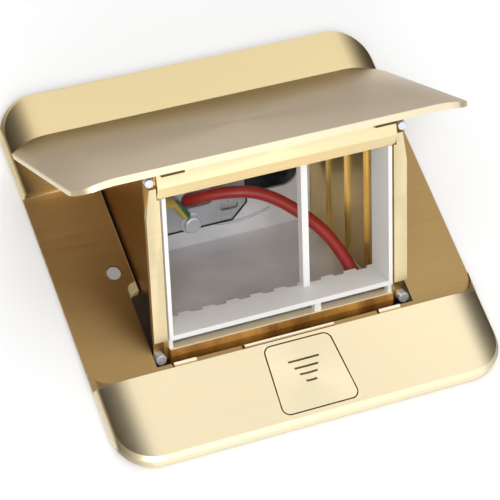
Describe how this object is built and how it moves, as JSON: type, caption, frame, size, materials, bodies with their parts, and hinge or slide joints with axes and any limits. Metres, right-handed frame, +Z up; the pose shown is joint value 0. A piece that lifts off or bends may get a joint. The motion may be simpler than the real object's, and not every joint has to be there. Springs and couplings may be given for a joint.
{
  "type": "pop-up floor socket box",
  "caption": "Square brushed-brass floor box whose sprung, damped lid lifts a tilting cradle for power or data modules out of a flush steel box.",
  "frame": {"origin": "middle of the flush box's base", "axes": "+Z up out of the floor, +Y from the button towards the lid's hinge, +X to the right seen from the button's side"},
  "size_m": [0.12, 0.12, 0.1109],
  "materials": {
    "plate_brass": "brushed, lines along X, lacquered",
    "cast_brass": "polished cast bars and trims",
    "galvanised": "galvanised sheet, satin",
    "zinc": "zinc-plated small parts",
    "spring_steel": "drawn wire",
    "grey_plastic": "moulded, fine texture",
    "white_plastic": "moulded, satin",
    "seal_rubber": "moulded",
    "magnet": "nickel-plated",
    "red_sheath": "extruded insulation",
    "earth_sheath": "extruded insulation, two colours"
  },
  "bodies": {
    "base": {"back_box": "galvanised", "floor_plate": "plate_brass", "seal_gasket": "seal_rubber", "mounting_frame": "grey_plastic", "plate_screws": "zinc", "hinge_bracket_left": "galvanised", "hinge_bracket_right": "galvanised", "damper_housing": "grey_plastic", "lid_spring": "spring_steel", "catch_magnets": "magnet", "lever_pin": "zinc", "earth_stud": "zinc", "button_spring": "spring_steel"},
    "button": {"button": "plate_brass"},
    "kick_lever": {"kick_lever": "galvanised"},
    "pinion": {"damper_pinion": "grey_plastic"},
    "cradle": {"bottom_bar": "cast_brass", "corner_screws": "zinc", "cradle_cheek_left": "plate_brass", "cradle_cheek_right": "plate_brass", "damper_gear": "white_plastic", "earth_bracket": "zinc", "earth_lug": "zinc", "earth_screw": "zinc", "earth_wire": "earth_sheath", "hinge_shaft_left": "zinc", "hinge_shaft_right": "zinc", "keeper_plates": "zinc", "lid": "plate_brass", "lid_rivets": "zinc", "line_wire": "red_sheath", "module_divider": "white_plastic", "module_frame": "white_plastic", "side_trim_left": "cast_brass", "side_trim_right": "cast_brass", "spring_collar": "zinc", "steel_tray": "galvanised", "top_bar": "cast_brass"}
  },
  "joints": [
    {"name": "lid_hinge", "type": "hinge", "parent": "base", "child": "cradle", "pos_m": [0, 0.0366, 0.0452], "axis": [1, 0, 0], "range_deg": [0, 48], "stiffness_Nm_per_rad": 0.155, "springref_deg": -44.35},
    {"name": "pinion_spin", "type": "hinge", "parent": "base", "child": "pinion", "pos_m": [0, 0.03108, 0.03002], "axis": [1, 0, 0], "range_deg": [-145, 1]},
    {"name": "button_press", "type": "slide", "parent": "base", "child": "button", "axis": [0, 0, -1], "range_m": [0, 0.0009], "stiffness_N_per_m": 400, "springref_m": -0.0005, "deforming": ["button_spring"]},
    {"name": "lever_rock", "type": "hinge", "parent": "base", "child": "kick_lever", "pos_m": [0, -0.038, 0.0551], "axis": [1, 0, 0], "range_deg": [0, 6.65]}
  ],
  "couplings": [
    {"joint": "pinion_spin", "follows": "lid_hinge", "ratio": -3},
    {"joint": "lever_rock", "follows": "button_press", "rad_per_m": 128.21}
  ]
}
